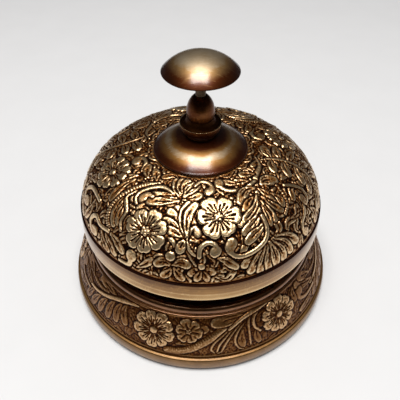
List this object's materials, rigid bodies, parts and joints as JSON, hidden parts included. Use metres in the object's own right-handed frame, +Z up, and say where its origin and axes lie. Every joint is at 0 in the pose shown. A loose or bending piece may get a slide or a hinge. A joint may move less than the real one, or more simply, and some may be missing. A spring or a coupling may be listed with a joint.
{
  "type": "desk tap bell",
  "caption": "Domed bell with relief ornament on a hollow post over a cast foot, with a sprung push button that swings a hammer inside.",
  "frame": {"origin": "middle of the underside, on the surface that the bell stands on", "axes": "+Z up along the post; -Y is the side seen from the front; the hammer lies towards +X"},
  "size_m": [0.107, 0.107, 0.097],
  "materials": {
    "antique_brass_bell": "cast relief, darkened in its recesses and polished on its high points",
    "antique_brass_base": "cast relief, darker patina",
    "turned_brass": "turned, aged satin",
    "dark_turned_brass": "turned, dark patina",
    "plain_brass": "machined",
    "turned_steel": "turned",
    "plated_steel": "zinc plated",
    "spring_steel": "oiled",
    "fibre": "vulcanised fibre",
    "felt": "wool felt"
  },
  "bodies": {
    "base": {"felt_pad": "felt", "cover_plate": "plated_steel", "cover_screws": "plated_steel", "base_casting": "antique_brass_base", "post": "turned_steel", "post_washer": "plated_steel", "post_nut": "plated_steel", "post_bush": "plain_brass", "pivot_bracket": "plated_steel", "bracket_screw": "plated_steel", "pivot_pin": "turned_steel", "pin_clip": "spring_steel", "lower_washer": "fibre", "bell": "antique_brass_bell", "upper_washer": "fibre", "collar_disc": "turned_brass", "cup_ferrule": "dark_turned_brass", "guide_nut": "dark_turned_brass", "return_spring": "spring_steel"},
    "plunger": {"plunger_rod": "turned_steel", "button": "turned_brass", "rod_clip": "spring_steel"},
    "striker": {"hammer_lever": "plain_brass", "hammer_head": "plain_brass", "hammer_rivet": "turned_steel"}
  },
  "joints": [
    {"name": "button_press", "type": "slide", "parent": "base", "child": "plunger", "axis": [0, 0, -1], "range_m": [0, 0.005], "stiffness_N_per_m": 400, "springref_m": -0.005, "deforming": ["return_spring"]},
    {"name": "hammer_swing", "type": "hinge", "parent": "base", "child": "striker", "pos_m": [0.01, 0, 0.04], "axis": [0, -1, 0], "range_deg": [0, 28.6]}
  ],
  "couplings": [
    {"joint": "hammer_swing", "follows": "button_press", "rad_per_m": 99.6}
  ]
}
